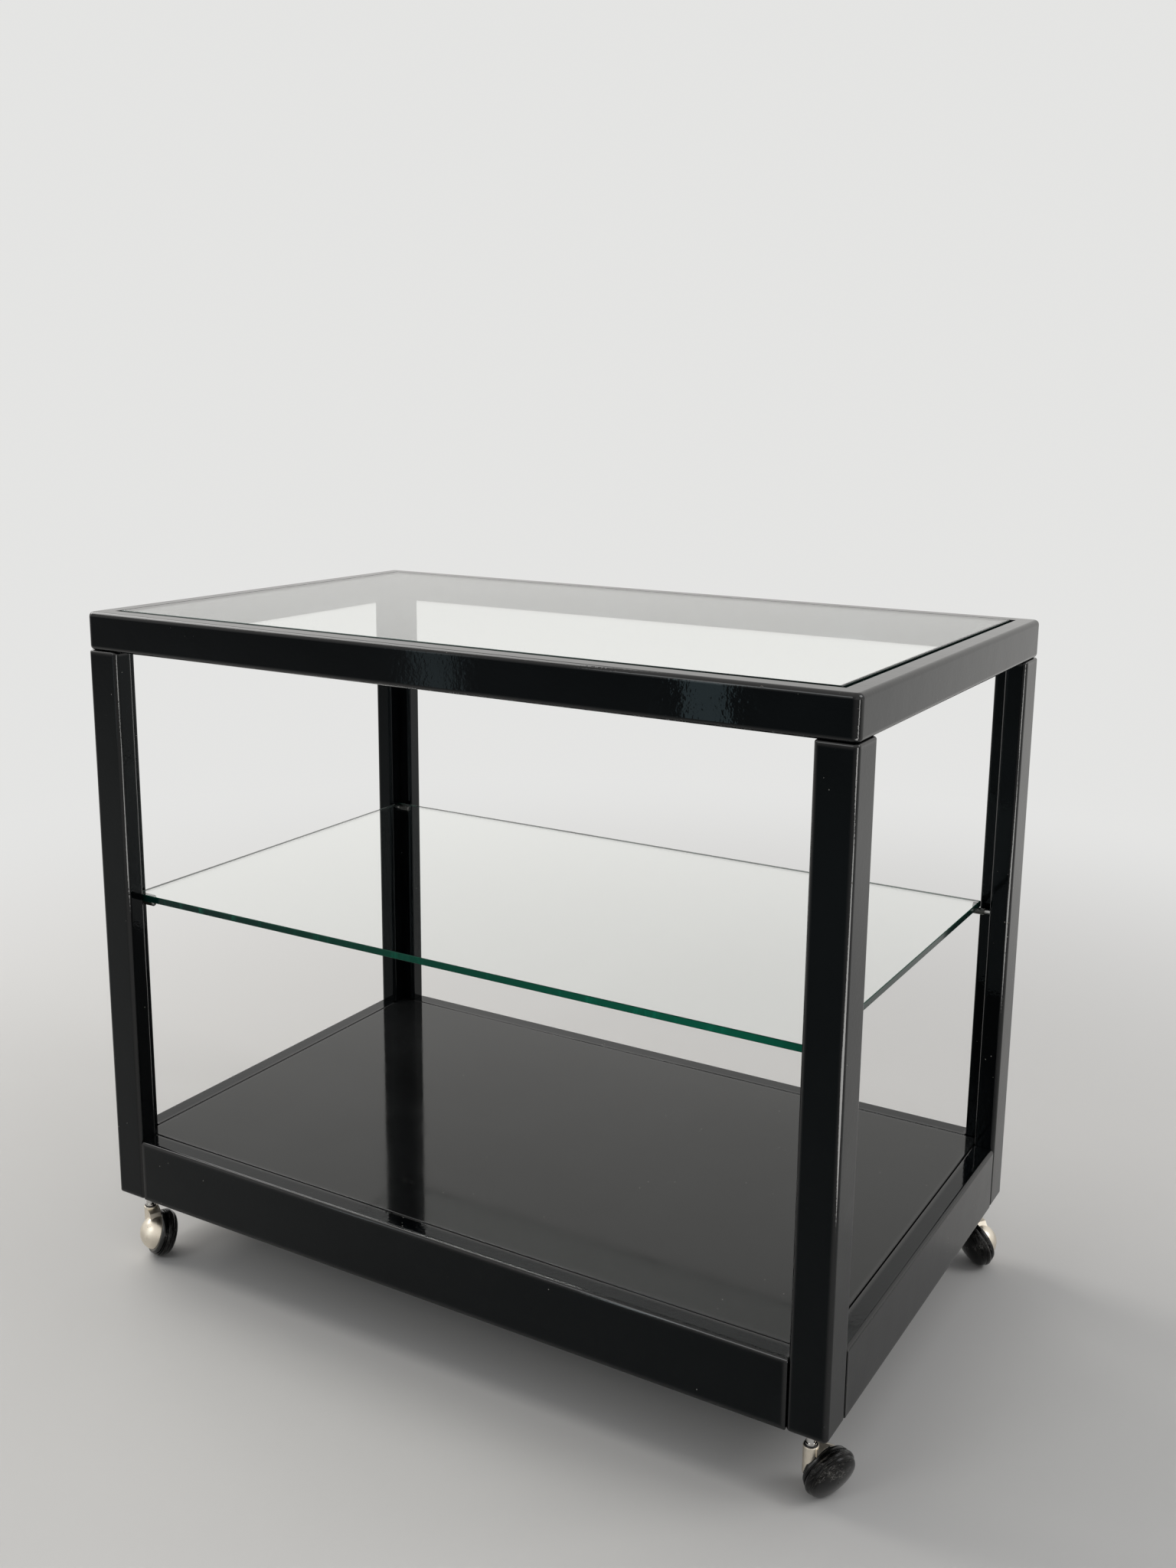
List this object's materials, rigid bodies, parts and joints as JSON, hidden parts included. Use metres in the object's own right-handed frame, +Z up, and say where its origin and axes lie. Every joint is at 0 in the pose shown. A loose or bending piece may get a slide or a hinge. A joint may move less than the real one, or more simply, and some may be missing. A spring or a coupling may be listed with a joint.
{
  "type": "serving trolley",
  "caption": "Black lacquered serving trolley with a glass top let into a mitred frame, a glass shelf on sleeved pins, a closed base panel and hooded ball castors.",
  "frame": {"origin": "on the floor below the middle of the frame", "axes": "+Z up, +X to the right along the long side seen from the front, +Y to the rear, so the front faces -Y"},
  "size_m": [0.7157, 0.4281, 0.6007],
  "materials": {
    "black_lacquer": "black lacquer, polished to a high gloss",
    "black_panel": "black lacquer, glossy",
    "bare_wood": "dark stained, matt",
    "clear_glass": "polished float glass with ground edges",
    "steel": "drawn steel",
    "pale_sleeve": "translucent, glossy",
    "black_plastic": "satin moulding",
    "plated_stem": "bright plating",
    "champagne_metal": "satin champagne plating",
    "wheel_plastic": "scuffed satin moulding",
    "tyre_rubber": "smooth, worn"
  },
  "bodies": {
    "frame": {"top_rail_front": "black_lacquer", "top_rail_rear": "black_lacquer", "top_rail_left": "black_lacquer", "top_rail_right": "black_lacquer", "top_glass": "clear_glass", "shelf_glass": "clear_glass", "base_panel": "black_panel", "base_rail_front": "black_lacquer", "base_rail_rear": "black_lacquer", "base_rail_left": "black_lacquer", "base_rail_right": "black_lacquer", "panel_cleat_front": "bare_wood", "panel_cleat_rear": "bare_wood", "panel_cleat_left": "bare_wood", "panel_cleat_right": "bare_wood", "post_fl": "black_lacquer", "shelf_pin_fl": "steel", "shelf_sleeve_fl": "pale_sleeve", "castor_socket_fl": "black_plastic", "castor_stem_fl": "plated_stem", "post_fr": "black_lacquer", "shelf_pin_fr": "steel", "shelf_sleeve_fr": "pale_sleeve", "castor_socket_fr": "black_plastic", "castor_stem_fr": "plated_stem", "post_rl": "black_lacquer", "shelf_pin_rl": "steel", "shelf_sleeve_rl": "pale_sleeve", "castor_socket_rl": "black_plastic", "castor_stem_rl": "plated_stem", "post_rr": "black_lacquer", "shelf_pin_rr": "steel", "shelf_sleeve_rr": "pale_sleeve", "castor_socket_rr": "black_plastic", "castor_stem_rr": "plated_stem"},
    "castor_fl": {"castor_hood_fl": "champagne_metal", "castor_bush_fl": "black_plastic", "castor_axle_fl": "steel"},
    "wheel_fl": {"wheel_dome_fl": "wheel_plastic", "wheel_tyre_fl": "tyre_rubber"},
    "castor_fr": {"castor_hood_fr": "champagne_metal", "castor_bush_fr": "black_plastic", "castor_axle_fr": "steel"},
    "wheel_fr": {"wheel_dome_fr": "wheel_plastic", "wheel_tyre_fr": "tyre_rubber"},
    "castor_rl": {"castor_hood_rl": "champagne_metal", "castor_bush_rl": "black_plastic", "castor_axle_rl": "steel"},
    "wheel_rl": {"wheel_dome_rl": "wheel_plastic", "wheel_tyre_rl": "tyre_rubber"},
    "castor_rr": {"castor_hood_rr": "champagne_metal", "castor_bush_rr": "black_plastic", "castor_axle_rr": "steel"},
    "wheel_rr": {"wheel_dome_rr": "wheel_plastic", "wheel_tyre_rr": "tyre_rubber"}
  },
  "joints": [
    {"name": "front_left_swivel", "type": "hinge", "parent": "frame", "child": "castor_fl", "pos_m": [-0.331, -0.1945, 0.0442], "axis": [0, 0, 1], "continuous": true},
    {"name": "front_left_roll", "type": "hinge", "parent": "castor_fl", "child": "wheel_fl", "pos_m": [-0.31872, -0.19834, 0.02213], "axis": [0.4556, 0.8219, -0.342], "continuous": true},
    {"name": "front_right_swivel", "type": "hinge", "parent": "frame", "child": "castor_fr", "pos_m": [0.331, -0.1945, 0.0442], "axis": [0, 0, 1], "continuous": true},
    {"name": "front_right_roll", "type": "hinge", "parent": "castor_fr", "child": "wheel_fr", "pos_m": [0.33904, -0.18445, 0.02213], "axis": [0.8373, -0.4266, -0.342], "continuous": true},
    {"name": "rear_left_swivel", "type": "hinge", "parent": "frame", "child": "castor_rl", "pos_m": [-0.331, 0.1945, 0.0442], "axis": [0, 0, 1], "continuous": true},
    {"name": "rear_left_roll", "type": "hinge", "parent": "castor_rl", "child": "wheel_rl", "pos_m": [-0.33999, 0.1853, 0.02213], "axis": [0.5255, -0.779, -0.342], "continuous": true},
    {"name": "rear_right_swivel", "type": "hinge", "parent": "frame", "child": "castor_rr", "pos_m": [0.331, 0.1945, 0.0442], "axis": [0, 0, 1], "continuous": true},
    {"name": "rear_right_roll", "type": "hinge", "parent": "castor_rr", "child": "wheel_rr", "pos_m": [0.33999, 0.1853, 0.02213], "axis": [-0.5255, -0.779, -0.342], "continuous": true}
  ]
}
